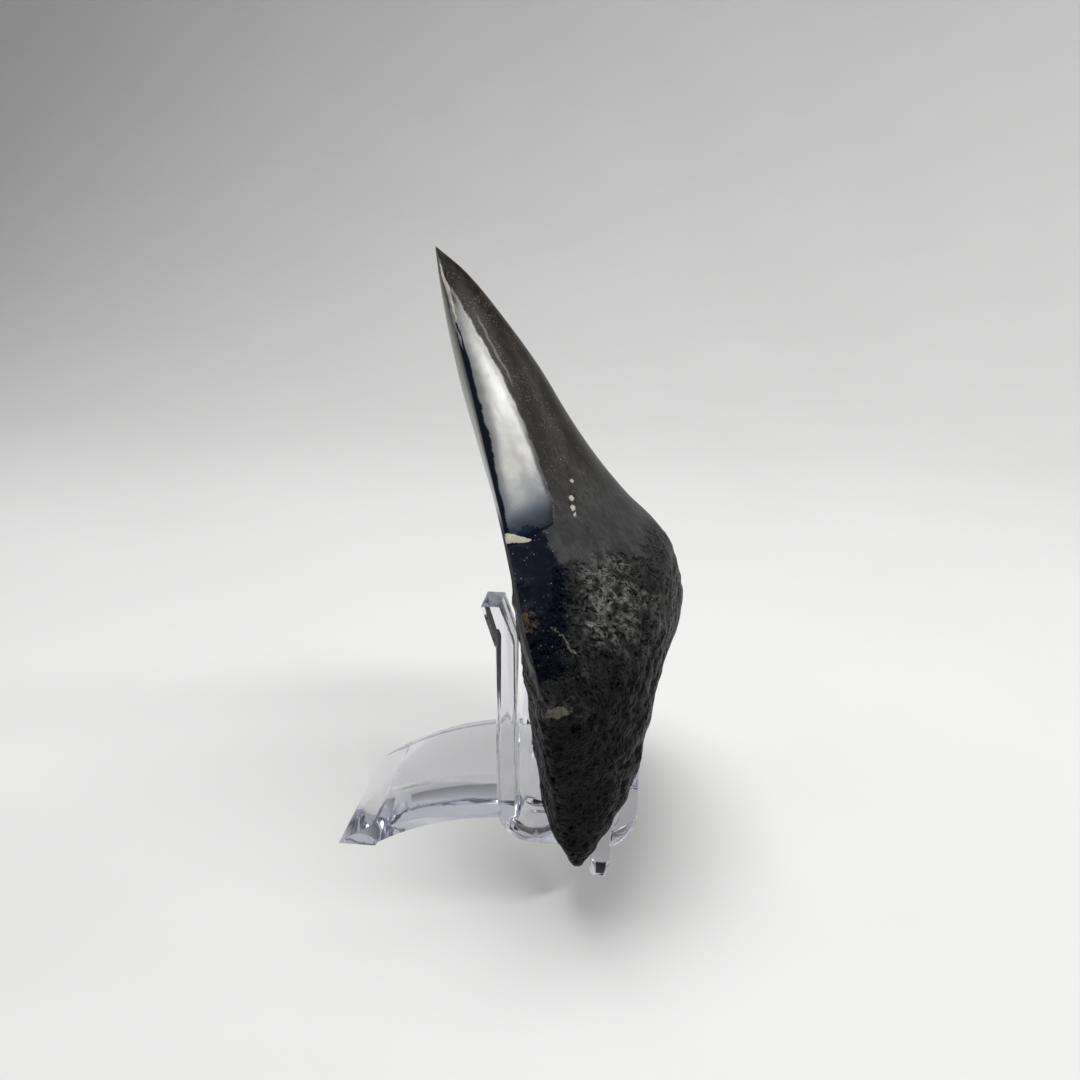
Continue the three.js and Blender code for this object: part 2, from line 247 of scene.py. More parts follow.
# ------------------------------------------------------------------ tooth mesh
def tooth_grid(face):
    """Depth, across and height of a grid of points on one face, and each point's share."""
    across_share = np.sin(np.pi / 2 * np.linspace(-1, 1, ACROSS_STEPS + 1))[:, None]
    rise = (np.linspace(0, 1, HEIGHT_STEPS + 1) ** 1.15)[None, :]
    share, rise = np.broadcast_arrays(across_share, rise)
    edge_height = ROOT_END_HEIGHT + (TOOTH_HEIGHT - ROOT_END_HEIGHT) * rise
    half = np.maximum(section_value("half", edge_height), 0.0)
    arch = root_outline(np.abs(share) * ROOT_END_HALF) - ROOT_END_HEIGHT
    height = edge_height + arch * (1 - rise) ** ARCH_FADE

    edge = section_value("edge", edge_height)
    middle = section_value("labial" if face < 0 else "lingual", edge_height)
    if face > 0:
        swelling = np.exp(-(share * half / BOSS_HALF_WIDTH) ** 2)
        middle = middle + section_value("boss", edge_height) * swelling
    square = section_value("square", edge_height)
    fullness = np.maximum(1 - np.abs(share) ** square, 0.0)
    fullness = fullness ** section_value("round", edge_height)
    face_depth = edge + (middle - edge) * fullness
    from_root = np.minimum((edge_height - ROOT_END_HEIGHT) / ROOT_EDGE_ROUNDING, 1.0)
    rounding = np.sqrt(1 - (1 - from_root) ** 2)
    depth = ROOT_EDGE_DEPTH + (face_depth - ROOT_EDGE_DEPTH) * rounding
    return np.stack([depth, share * half, height], -1), share, half


def labial_foot(across):
    """Height at which the enamel of the flat face ends, lower towards the edges."""
    return LABIAL_FOOT - LABIAL_FOOT_DROP * (across / LABIAL_FOOT_REACH) ** 2


def enamel_field(share, half, point, face):
    """Millimetres into the enamel: positive on enamel, negative off it."""
    height, across = point[..., 2], np.abs(point[..., 1])
    if face < 0:
        return height - labial_foot(across)
    heights, shares = np.array(ENAMEL_INNER).T
    inner = np.interp(height, heights, shares)
    beside_ridge = (np.abs(share) - inner) * half
    above_foot = height - ENAMEL_FOOT - ENAMEL_FOOT_RISE * (1 - np.abs(share))
    return np.minimum(beside_ridge, above_foot)


def root_field(share, half, point, face):
    """Millimetres into the rough root: positive on it, negative above it."""
    height, across = point[..., 2], np.abs(point[..., 1])
    if face < 0:
        return labial_foot(across) - LABIAL_ROOT_GAP - height
    top = ROOT_TOP + ROOT_TOP_RISE * np.abs(share) ** 2
    dip = ROOT_BELOW_BOURLETTE * smooth_step(*BOURLETTE_SHARES, np.abs(share))
    return top - dip - height


def bourlette_field(share, half, point, face):
    """Millimetres into the dark band below the enamel, beside the cutting edge."""
    height = point[..., 2]
    if face < 0:
        return np.full(share.shape, FAR_OUTSIDE)
    heights, shares = np.array(BOURLETTE_INNER).T
    beside_ridge = (np.abs(share) - np.interp(height, heights, shares)) * half
    within = np.minimum(BOURLETTE_TOP - height, height - BOURLETTE_FOOT)
    return np.minimum(beside_ridge, within)


def rim_field(share, half, point, face):
    """Millimetres into the navy margin that runs along the cutting edges."""
    heights, widths = np.array(RIM_WIDTHS).T
    return np.interp(point[..., 2], heights, widths) - (1 - np.abs(share)) * half


def tooth_sheet(face):
    """One face of the tooth as mesh data, with what the material needs at each point."""
    point, share, half = tooth_grid(face)
    ids = np.arange(share.size).reshape(share.shape)
    a, b, c, d = ids[:-1, :-1], ids[1:, :-1], ids[1:, 1:], ids[:-1, 1:]
    quads = np.stack([a, b, c, d] if face > 0 else [a, d, c, b], -1).reshape(-1, 4)
    fields = {
        "enamel": enamel_field(share, half, point, face),
        "root": root_field(share, half, point, face),
        "bourlette": bourlette_field(share, half, point, face),
        "rim": rim_field(share, half, point, face),
        "lingual": face * (1 - np.abs(share)),
        "share": share,
    }
    fields = {name: value.ravel() for name, value in fields.items()}
    return point.reshape(-1, 3), quads, fields


def add_field(mesh, name, values):
    mesh.attributes.new(name, "FLOAT", "POINT").data.foreach_set("value", values)


def smooth_tooth_mesh():
    """Both faces joined along the cutting edges and the underside, before any relief."""
    sheets = [tooth_sheet(-1), tooth_sheet(1)]
    points = np.concatenate([sheet[0] for sheet in sheets])
    quads = np.concatenate([sheets[0][1], sheets[1][1] + len(sheets[0][0])])
    mesh = bpy.data.meshes.new("tooth_fine")
    mesh.from_pydata(points.tolist(), [], quads.tolist())
    for name in sheets[0][2]:
        add_field(mesh, name, np.concatenate([sheet[2][name] for sheet in sheets]))
    welded = bmesh.new()
    welded.from_mesh(mesh)
    bmesh.ops.remove_doubles(welded, verts=welded.verts, dist=WELD_DISTANCE)
    bmesh.ops.recalc_face_normals(welded, faces=welded.faces)
    welded.to_mesh(mesh)
    welded.free()
    return mesh


def read_vectors(collection, name):
    values = np.zeros(len(collection) * 3)
    collection.foreach_get(name, values)
    return values.reshape(-1, 3)


def read_field(mesh, name):
    values = np.zeros(len(mesh.vertices))
    mesh.attributes[name].data.foreach_get("value", values)
    return values


def dent(points, centre, radii, depth):
    """A smooth hollow round a point: negative inside, zero beyond its radii."""
    apart = np.linalg.norm((points - np.array(centre)) / np.array(radii), axis=1)
    return -depth * (1 - smooth_step(0.2, 1.0, apart))


def nearness(apart):
    """1 at the middle of a mark, 0.5 on its border, 0 at twice its size and beyond."""
    return np.clip(1 - 0.5 * apart, 0.0, 1.0)


def blob(points, centre, radii):
    """Nearness to an ellipsoid."""
    apart = np.linalg.norm((points - np.array(centre)) / np.array(radii), axis=1)
    return nearness(apart)


def streak(points, start, end, start_width, end_width):
    """Nearness to a line whose half width goes from one value to another."""
    start, along = np.array(start), np.array(end) - np.array(start)
    t = np.clip((points - start) @ along / (along @ along), 0, 1)
    apart = np.linalg.norm(points - start - t[:, None] * along, axis=1)
    return nearness(apart / (start_width + (end_width - start_width) * t))


def root_relief(points):
    """Lumps, ridges and pores of the mineralised root, mm along the normal."""
    height, across = points[:, 2], np.abs(points[:, 1])
    shoulder = smooth_step(*SHOULDER_RISE, height) * (1 - smooth_step(*SHOULDER_FADE, height))
    lumps = LUMP_HEIGHT * fbm(points, LUMP_SIZE, 2, seed=3.1)
    grain_height = GRAIN_HEIGHT + SHOULDER_GRAIN_HEIGHT * shoulder
    grains = grain_height * fbm(points, GRAIN_SIZE, 2, seed=8.7)
    porous = smooth_step(-0.2, 0.3, fbm(points, POROUS_PATCH_SIZE, 2, seed=1.0))
    craters = 1 - smooth_step(*CRATER_RADII, pits(points, CRATER_SPACING, seed=5.0))
    pores = 1 - smooth_step(*PORE_RADII, pits(points, PORE_SPACING, seed=9.0))
    striped = points * np.array([1.0, 1.0, FURROW_STRETCH])
    furrows = FURROW_DEPTH * (1 - shoulder) * fbm(striped, FURROW_SIZE, 2, seed=2.2)
    holes = -CRATER_DEPTH * craters * porous - PORE_DEPTH * pores
    rough = WORN_RELIEF + (1 - WORN_RELIEF) * smooth_step(*WORN_HALF_WIDTHS, across)
    return rough * (lumps + grains + holes + furrows)


def polished_relief(points):
    """The crown is polished by hand, so it is only very slightly uneven."""
    return CROWN_RELIEF * fbm(points, CROWN_WAVE, 2, seed=6.0)


def edge_chips(points, share):
    """Small bites along both cutting edges, where the serrations have worn away."""
    near_edge = smooth_step(0.93, 1.0, np.abs(share))
    edge = EDGES_APART * np.sign(points[:, 1])
    along = np.stack([points[:, 2], edge, np.zeros(len(points))], 1)
    bites = smooth_step(0.25, 0.7, fbm(along, EDGE_BITE_SIZE, 3, seed=2.0))
    return -EDGE_BITE * near_edge * bites


def nearest(points, shape, marks):
    """Nearness to whichever of several marks is the closest."""
    return np.max([shape(points, *mark) for mark in marks], axis=0)


def near_marks(points):
    """How near each point is to the marks of the near side: pale ones with a painted highlight,
    faint ones, dark lines with a painted shadow, and the brown stain.
    """
    moved = points + STREAK_WANDER * fbm(points, 2.4, 2, seed=7.0)[:, None]
    return {
        "pale": np.maximum(nearest(moved, streak, CHIP_AND_HIGHLIGHT_STREAKS), nearest(points, blob, SPECKS)),
        "faint": np.maximum(nearest(moved, streak, FAINT_STREAKS), blob(moved, *PALE_SPOT)),
        "shade": nearest(moved, streak, DARK_STREAKS),
        "stain": blob(moved, *BROWN_STAIN),
    }


def wander_borders(mesh, points):
    """Makes the borders between the kinds of surface irregular, as they are."""
    wide, fine = fbm(points, 11.0, 3, seed=4.0), fbm(points, 3.0, 3, seed=5.5)
    for name, (broad_shift, fine_shift) in BORDER_WANDER.items():
        values = read_field(mesh, name) + broad_shift * wide + fine_shift * fine
        mesh.attributes[name].data.foreach_set("value", values)


def carve_tooth(mesh):
    """Moves the smooth surface along its normals to give it its relief."""
    points = read_vectors(mesh.vertices, "co")
    normals = read_vectors(mesh.vertex_normals, "vector")
    wander_borders(mesh, points)
    root = smooth_step(*ROOT_RELIEF_FADE, read_field(mesh, "root"))
    crown = 1 - smooth_step(*CROWN_FADE, read_field(mesh, "root"))
    relief = root * root_relief(points) + (1 - root) * polished_relief(points)
    relief += crown * edge_chips(points, read_field(mesh, "share"))
    for centre, radii, depth in DENTS:
        relief += dent(points, centre, radii, depth)
    marks = near_marks(points)
    relief += PALE_MARK_HEIGHT * smooth_step(0.4, 0.6, marks["pale"])
    for name, values in marks.items():
        add_field(mesh, name, values)
    grain = mesh.attributes.new("grain", "FLOAT_VECTOR", "POINT")
    grain.data.foreach_set("vector", points.ravel())
    points = points + normals * relief[:, None]
    mesh.vertices.foreach_set("co", points.ravel())
    mesh.update()


def place_tooth(mesh):
    """Leans the tooth back and puts it where the CAD node is, in metres."""
    lean = Matrix.Rotation(-LEAN_BACK, 4, "Y") @ Matrix.Scale(MM, 4)
    points = read_vectors(mesh.vertices, "co")
    leaning = points @ np.array(lean.to_3x3()).T
    low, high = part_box("tooth")
    tip = leaning[np.argmax(leaning[:, 2])]
    move = Vector((low.x - leaning[:, 0].min(), 0, high.z - tip[2]))
    mesh.transform(Matrix.Translation(move) @ lean)


def on_dark_glaze_and_shadow(mesh):
    """Which vertices lie on the dark band, the navy rim, the dark lines or the painted shadow
    above the chip.
    """
    lingual = read_field(mesh, "lingual") > 0
    on_rim = (read_field(mesh, "rim") > 0) & (read_field(mesh, "enamel") > 0)
    on_band = read_field(mesh, "bourlette") > 0
    return lingual & (on_rim | on_band) | (read_field(mesh, "shade") > 0.5)


def build_tooth():
    mesh = smooth_tooth_mesh()
    carve_tooth(mesh)
    place_tooth(mesh)
    mesh.polygons.foreach_set("use_smooth", [True] * len(mesh.polygons))
    tooth = bpy.data.objects.new("tooth_fine", mesh)
    bpy.context.collection.objects.link(tooth)
    for name, gloss in TOOTH_GLOSS:
        mesh.materials.append(tooth_material(name, gloss))
    corners = np.array([face.vertices[0] for face in mesh.polygons])
    kind = np.where(read_field(mesh, "enamel") > 0, 0, 1)
    kind[(read_field(mesh, "root") > 0) & (kind == 1)] = 2
    kind[on_dark_glaze_and_shadow(mesh)] = 3
    mesh.polygons.foreach_set("material_index", kind[corners])
    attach(tooth, "root")
    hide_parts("tooth")
    return tooth


# ------------------------------------------------------------------ node helpers
class Nodes:
    """Builds a material's node tree with short calls."""

    def __init__(self, name):
        self.material = bpy.data.materials.new(name)
        self.material.use_nodes = True
        self.tree = self.material.node_tree
        self.shader = self.tree.nodes["Principled BSDF"]

    def link(self, source, target):
        if isinstance(source, bpy.types.NodeSocket):
            self.tree.links.new(source, target)
        else:
            target.default_value = source

    def attribute(self, name, output="Fac"):
        node = self.tree.nodes.new("ShaderNodeAttribute")
        node.attribute_name = name
        return node.outputs[output]

    def shifted(self, name, shift, amount):
        """A field of the mesh with a noise added, so that its borders wander."""
        return self.math("ADD", self.attribute(name), self.math("MULTIPLY", shift, amount))

    def swing(self, value, amount=1.0):
        """A noise of 0 to 1 made to go as far below 0 as above it."""
        return self.math("MULTIPLY", self.math("SUBTRACT", value, 0.5), amount)

    def part(self, vector, axis):
        node = self.tree.nodes.new("ShaderNodeSeparateXYZ")
        self.link(vector, node.inputs[0])
        return node.outputs[axis]

    def between(self, share, first, second):
        """first where share is 0, second where it is 1."""
        node = self.tree.nodes.new("ShaderNodeMix")
        for source, index in ((share, 0), (first, 2), (second, 3)):
            self.link(source, node.inputs[index])
        return node.outputs[0]

    def place(self, source, scale=(1, 1, 1)):
        node = self.tree.nodes.new("ShaderNodeMapping")
        node.inputs["Scale"].default_value = scale
        self.link(source, node.inputs["Vector"])
        return node.outputs["Vector"]

    def noise(self, place, scale, detail=4.0, roughness=0.55):
        node = self.tree.nodes.new("ShaderNodeTexNoise")
        node.inputs["Scale"].default_value = scale
        node.inputs["Detail"].default_value = detail
        node.inputs["Roughness"].default_value = roughness
        self.link(place, node.inputs["Vector"])
        return node.outputs["Fac"]

    def cells(self, place, scale, randomness=1.0):
        node = self.tree.nodes.new("ShaderNodeTexVoronoi")
        node.inputs["Scale"].default_value = scale
        node.inputs["Randomness"].default_value = randomness
        self.link(place, node.inputs["Vector"])
        return node.outputs["Distance"]

    def ramp(self, value, low, high, start=0.0, end=1.0):
        """start below low, end above high, and a smooth change between them."""
        node = self.tree.nodes.new("ShaderNodeMapRange")
        node.interpolation_type = "SMOOTHSTEP"
        self.link(value, node.inputs["Value"])
        for key, number in zip(("From Min", "From Max", "To Min", "To Max"),
                               (low, high, start, end)):
            node.inputs[key].default_value = number
        return node.outputs["Result"]

    def math(self, operation, first, second=0.0):
        node = self.tree.nodes.new("ShaderNodeMath")
        node.operation = operation
        self.link(first, node.inputs[0])
        self.link(second, node.inputs[1])
        return node.outputs[0]

    def colour(self, share, first, second):
        """first where share is 0, second where it is 1."""
        node = self.tree.nodes.new("ShaderNodeMix")
        node.data_type = "RGBA"
        self.link(share, node.inputs["Factor"])
        for source, key in ((first, "A"), (second, "B")):
            target = next(i for i in node.inputs if i.name == key and i.type == "RGBA")
            self.link(source if isinstance(source, bpy.types.NodeSocket) else (*source, 1.0),
                      target)
        return next(o for o in node.outputs if o.type == "RGBA")

    def bump(self, height, distance, strength=1.0, under=None):
        node = self.tree.nodes.new("ShaderNodeBump")
        node.inputs["Distance"].default_value = distance
        self.link(strength, node.inputs["Strength"])
        self.link(height, node.inputs["Height"])
        if under is not None:
            self.link(under, node.inputs["Normal"])
        return node.outputs["Normal"]


# ------------------------------------------------------------------ tooth material
# Colours, as linear shares of red, green and blue. Pairs are the darker and the lighter.
NAVY = (0.004, 0.006, 0.012)
SLATE = (0.028, 0.052, 0.080)
RIM_GREY = (0.045, 0.050, 0.058)
CREAM = (0.46, 0.44, 0.35)
BROWN = (0.080, 0.055, 0.038)
GROWTH_LINE = (0.17, 0.165, 0.155)
DENTINE_BROWNS = (0.009, 0.0075, 0.006), (0.034, 0.028, 0.022)
DENTINE_GREYS = (0.026, 0.026, 0.026), (0.050, 0.050, 0.050)
DENTINE_SHADE = (0.007, 0.007, 0.007)
ORANGE_SPECK = (0.24, 0.175, 0.105)
ENAMEL_OUTER = (0.17, 0.16, 0.125), (0.25, 0.245, 0.21)
# Cream of the enamel beside the ridge, made lighter as a painted highlight where the strip lamp
# mirrors in it.
ENAMEL_BAND_AND_HIGHLIGHT = (0.50, 0.495, 0.465), (0.64, 0.635, 0.60)
BOURLETTE_BLACKS = NAVY, (0.007, 0.008, 0.015)
# White of the painted glints on the bourlette.
PAINTED_GLINT = (0.34, 0.35, 0.40)
ROOT_BLACKS = (0.001, 0.001, 0.002), (0.008, 0.008, 0.009)
ROOT_GREYS = (0.010, 0.010, 0.010), (0.036, 0.035, 0.034)
ROOT_DUST = (0.20, 0.195, 0.187)

ROOT_ROUGHNESS = 0.38
BOURLETTE_ROUGHNESS = 0.16
ENAMEL_ROUGHNESS = 0.20
DULL_ENAMEL_ROUGHNESS = 1.0
CHIP_ROUGHNESS = 0.5
TOOTH_IOR = 1.62  # about that of tooth enamel, from memory

# Bump distances of the tooth's finest relief, metres.
KNOB_BUMP = 0.0046
GRAIN_BUMP = 0.0015
POLISH_BUMP = 0.00004
PIT_BUMP = 0.00025


def tooth_material(name, gloss):
    """One look for the whole tooth; gloss is the specular level, low on the chalky root."""
    n = Nodes(name)
    place = n.attribute("grain", "Vector")
    height = n.part(place, "Z")
    wander = n.swing(n.noise(place, 0.35, 5))
    fine_wander = n.swing(n.noise(place, 0.9, 4))
    is_root = n.ramp(n.shifted("root", wander, 6.0), -2.2, 3.0)
    inside = n.shifted("enamel", fine_wander, 0.25)
    is_enamel = n.ramp(inside, -0.12, 0.12)
    is_bourlette = n.ramp(n.shifted("bourlette", fine_wander, 4.0), -2.4, 0.4)

    colour = dentine_colour(n, place, height)
    colour = n.colour(is_root, colour, root_colour(n, place, height))
    colour = n.colour(is_bourlette, colour, bourlette_colour(n, place))
    colour = n.colour(is_enamel, colour, enamel_colour(n, place, height, inside))
    colour = n.colour(n.ramp(growth_line(n, inside, height), 0, 1), colour, GROWTH_LINE)
    # Dark lines in navy, with the painted shadow above the cream chip.
    colour = n.colour(n.ramp(n.attribute("shade"), 0.42, 0.58), colour, NAVY)
    stained = n.ramp(n.attribute("stain"), 0.45, 0.65)
    stain = n.math("MULTIPLY", stained, n.ramp(n.noise(place, 1.1, 5), 0.42, 0.6))
    colour = n.colour(stain, colour, BROWN)
    faint = n.ramp(n.shifted("faint", fine_wander, 1.0), 0.42, 0.58, 0.0, 0.3)
    colour = n.colour(faint, colour, CREAM)
    # Cream chip and specks, and the painted highlight strip below the tip.
    pale = n.ramp(n.shifted("pale", fine_wander, 0.4), 0.46, 0.54)
    colour = n.colour(pale, colour, CREAM)
    n.link(colour, n.shader.inputs["Base Color"])

    roughness = tooth_roughness(n, height, is_root, is_bourlette, is_enamel)
    n.link(n.between(pale, roughness, CHIP_ROUGHNESS), n.shader.inputs["Roughness"])
    n.shader.inputs["IOR"].default_value = TOOTH_IOR
    n.shader.inputs["Specular IOR Level"].default_value = gloss
    n.link(tooth_bumps(n, place, is_root, is_bourlette), n.shader.inputs["Normal"])
    return n.material


def tooth_roughness(n, height, is_root, is_bourlette, is_enamel):
    """Satin ridge and root, glassy bourlette, and enamel that dulls at its rim and foot."""
    satin = n.ramp(height, 60.0, 84.0, 0.42, 0.30)
    roughness = n.between(is_root, satin, ROOT_ROUGHNESS)
    roughness = n.between(is_bourlette, roughness, BOURLETTE_ROUGHNESS)
    duller = n.math("MAXIMUM", n.ramp(n.attribute("rim"), -2.4, 0.0, 0.0, 0.38),
                    n.ramp(height, 69.0, 76.5, 1.0, 0.0))
    enamel = n.ramp(duller, 0, 1, ENAMEL_ROUGHNESS, DULL_ENAMEL_ROUGHNESS)
    return n.between(is_enamel, roughness, enamel)


def tooth_bumps(n, place, is_root, is_bourlette):
    """Pitted grain on the root, polishing marks on the crown, faint pits on the bourlette."""
    height = n.part(place, "Z")
    shoulder = n.math("MULTIPLY", n.ramp(height, 34, 46, 0.65, 1.0), is_root)
    normal = n.bump(n.noise(place, 0.30, 1.5, 0.5), KNOB_BUMP, shoulder)
    pores = n.ramp(n.cells(place, 0.80), 0.12, 0.42)
    grains = n.noise(place, 1.3, 3, 0.55)
    grains = n.math("ADD", n.math("MULTIPLY", pores, 0.75), grains)
    normal = n.bump(grains, GRAIN_BUMP, shoulder, normal)
    scratches = n.noise(n.place(place, (3.0, 3.0, 0.35)), 2.0, 6, 0.6)
    polished = n.ramp(is_root, 0, 1, 0.6, 0.0)
    normal = n.bump(scratches, POLISH_BUMP, polished, normal)
    pitted = n.ramp(n.cells(place, 1.3), 0.06, 0.16)
    return n.bump(pitted, PIT_BUMP, n.math("MULTIPLY", is_bourlette, 0.8), normal)


def growth_line(n, inside, height):
    """A fine pale line beside the upper part of the enamel, where a layer ends."""
    beside = n.math("ABSOLUTE", n.math("ADD", inside, 0.95))
    line = n.ramp(beside, 0.08, 0.26, 1.0, 0.0)
    upper = n.math("MULTIPLY", n.ramp(height, 95, 99), n.ramp(height, 110, 114, 1.0, 0.0))
    return n.math("MULTIPLY", line, n.math("MULTIPLY", upper, 0.7))


def dentine_colour(n, place, height):
    """Satin chocolate grey with fine brown and orange specks, greyer towards the root."""
    streaks = n.noise(n.place(place, (1.0, 1.0, 0.3)), 0.9, 6, 0.6)
    brown = n.colour(n.ramp(streaks, 0.35, 0.7), *DENTINE_BROWNS)
    grey = n.colour(n.ramp(streaks, 0.3, 0.7), *DENTINE_GREYS)
    colour = n.colour(n.ramp(height, 64, 84), grey, brown)
    cloud = n.ramp(n.noise(place, 0.17, 4), 0.38, 0.66, 0.0, 0.55)
    colour = n.colour(cloud, colour, DENTINE_SHADE)
    specks = n.ramp(n.cells(n.place(place, (1, 1, 0.6)), 2.5), 0.12, 0.28, 1.0, 0.0)
    patchy = n.ramp(n.noise(place, 0.3, 3), 0.44, 0.60)
    specks = n.math("MULTIPLY", specks, n.math("MULTIPLY", patchy, n.ramp(height, 66, 78)))
    return n.colour(specks, colour, ORANGE_SPECK)


def enamel_colour(n, place, height, inside):
    """A cream band beside the ridge, lightened with a painted highlight where the strip lamp
    mirrors in it, greyer towards the navy rim, slate at its foot.
    """
    streaks = n.noise(n.place(place, (1.0, 1.0, 0.14)), 0.7, 5, 0.5)
    cloud = n.noise(place, 0.22, 4)
    outer = n.colour(n.ramp(cloud, 0.3, 0.7), *ENAMEL_OUTER)
    band = n.colour(n.ramp(streaks, 0.3, 0.7), *ENAMEL_BAND_AND_HIGHLIGHT)
    rim = n.shifted("rim", n.swing(streaks), 0.5)
    from_ridge = n.math("ADD", inside, n.swing(cloud, 3.0))
    # The band beside the ridge is cream with a painted highlight; the outer enamel is its own
    # greyer colour.
    colour = n.colour(n.ramp(from_ridge, 1.2, 3.6), band, outer)
    colour = n.colour(n.ramp(rim, -2.4, -0.2, 0.0, 0.8), colour, RIM_GREY)
    slate = n.math("ADD", height, n.swing(cloud, 7.0))
    colour = n.colour(n.ramp(slate, 72.5, 83.0), SLATE, colour)
    colour = n.colour(n.ramp(slate, 69.0, 73.5), NAVY, colour)
    lower = n.ramp(height, 82, 96, 1.0, 0.45)
    inner = n.math("MULTIPLY", n.ramp(inside, 0.3, 1.1, 1.0, 0.0), lower)
    colour = n.colour(inner, colour, NAVY)
    return n.colour(n.ramp(rim, -0.25, 0.1), colour, NAVY)


def bourlette_colour(n, place):
    """Glassy navy black with fine white specks, which are painted glints of light on its tiny
    facets.
    """
    cloud = n.ramp(n.noise(place, 0.5, 4), 0.4, 0.65)
    colour = n.colour(cloud, *BOURLETTE_BLACKS)
    # Painted glints: scattered white specks where tiny facets would catch the light.
    painted_glints = n.ramp(n.cells(place, 1.6), 0.10, 0.20, 1.0, 0.0)
    patchy = n.ramp(n.noise(place, 0.5, 3), 0.50, 0.60)
    return n.colour(n.math("MULTIPLY", painted_glints, patchy), colour, PAINTED_GLINT)


def root_colour(n, place, height):
    """Black mineral, greyer on its upper part, with a dusty bloom on the shoulder."""
    grain = n.noise(place, 1.3, 6, 0.68)
    low = n.colour(n.ramp(grain, 0.42, 0.75), *ROOT_BLACKS)
    high = n.colour(n.ramp(grain, 0.30, 0.75), *ROOT_GREYS)
    height = n.math("ADD", height, n.swing(n.noise(place, 0.09, 3), 24.0))
    base = n.colour(n.ramp(height, 34, 52), low, high)
    shoulder = n.math("MULTIPLY", n.ramp(height, 34, 50), n.ramp(height, 58, 66, 1.0, 0.3))
    cloud = n.ramp(n.noise(place, 0.13, 5, 0.6), 0.36, 0.58)
    from_middle = n.math("ABSOLUTE", n.part(place, "Y"))
    cloud = n.math("MULTIPLY", cloud, n.ramp(from_middle, 12, 28, 0.12, 1.0))
    clear = n.ramp(n.attribute("bourlette"), -5.5, -1.5, 1.0, 0.1)
    ridges = n.ramp(n.noise(place, 0.55, 3, 0.6), 0.40, 0.62)
    dust = n.math("MULTIPLY", n.math("MULTIPLY", shoulder, cloud), ridges)
    return n.colour(n.math("MULTIPLY", dust, clear), base, ROOT_DUST)


# ------------------------------------------------------------------ stand
PLASTIC_TINT = (0.945, 0.945, 0.96, 1.0)
PLASTIC_ROUGHNESS = 0.02
PLASTIC_IOR = 1.47  # picked, since the kind of plastic isn't known
PLASTIC_ABSORPTION = (0.72, 0.72, 0.79, 1.0)
PLASTIC_DENSITY = 34.0
RIPPLE_SCALE = 160.0
RIPPLE_BUMP = 0.00002


def clear_plastic():
    """Clear moulded plastic with a faint lilac tint and a slightly rippled surface."""
    n = Nodes("clear_plastic")
    n.shader.inputs["Base Color"].default_value = PLASTIC_TINT
    n.shader.inputs["Roughness"].default_value = PLASTIC_ROUGHNESS
    n.shader.inputs["IOR"].default_value = PLASTIC_IOR
    n.shader.inputs["Transmission Weight"].default_value = 1.0
    ripple = n.noise(n.tree.nodes.new("ShaderNodeTexCoord").outputs["Object"], RIPPLE_SCALE, 2)
    n.link(n.bump(ripple, RIPPLE_BUMP), n.shader.inputs["Normal"])
    absorb = n.tree.nodes.new("ShaderNodeVolumeAbsorption")
    absorb.inputs["Color"].default_value = PLASTIC_ABSORPTION
    absorb.inputs["Density"].default_value = PLASTIC_DENSITY
    output = n.tree.nodes["Material Output"]
    n.tree.links.new(absorb.outputs["Volume"], output.inputs["Volume"])
    return n.material


def arc(centre, radius, start, end, steps=ARC_STEPS):
    """Points of an arc in X and Z, from one angle in degrees to another."""
    turns = np.radians(np.linspace(start, end, steps + 1))
    return [(centre[0] + radius * math.cos(t), centre[1] + radius * math.sin(t))
            for t in turns]


def bar_outline():
    """The J from the side: upright with its top bent back, arm, and hook in front."""
    front_x = UPRIGHT_BACK_X + BAR_THICKNESS
    inner_radius = BEND_OUTER_RADIUS - BAR_THICKNESS
    rear_bend = (UPRIGHT_BACK_X + BEND_OUTER_RADIUS, ARM_BOTTOM_Z + BEND_OUTER_RADIUS)
    hook_bend = (HOOK_FRONT_X - BEND_OUTER_RADIUS, rear_bend[1])
    mitre = BAR_THICKNESS / 2 * math.tan(UPRIGHT_TILT / 2)
    top_shift = (UPRIGHT_TOP_Z - UPRIGHT_BEND_Z) * math.tan(UPRIGHT_TILT)
    return [
        (UPRIGHT_BACK_X - top_shift, UPRIGHT_TOP_Z),
        (UPRIGHT_BACK_X, UPRIGHT_BEND_Z - mitre),
        *arc(rear_bend, BEND_OUTER_RADIUS, 180, 270),
        *arc(hook_bend, BEND_OUTER_RADIUS, 270, 360),
        (HOOK_FRONT_X, HOOK_TOP_Z),
        (HOOK_FRONT_X - BAR_THICKNESS, HOOK_TOP_Z),
        *arc(hook_bend, inner_radius, 0, -90),
        *arc(rear_bend, inner_radius, 270, 180),
        (front_x, UPRIGHT_BEND_Z + mitre),
        (front_x - top_shift, UPRIGHT_TOP_Z),
    ]


def peg_outline():
    left, right = PEG_X - PEG_WIDTH / 2, PEG_X + PEG_WIDTH / 2
    top = ARM_BOTTOM_Z + BAR_THICKNESS / 2
    return [
        (left, top),
        *arc((left + PEG_CORNER, PEG_CORNER), PEG_CORNER, 180, 270),
        *arc((right - PEG_CORNER, PEG_CORNER), PEG_CORNER, 270, 360),
        (right, top),
    ]


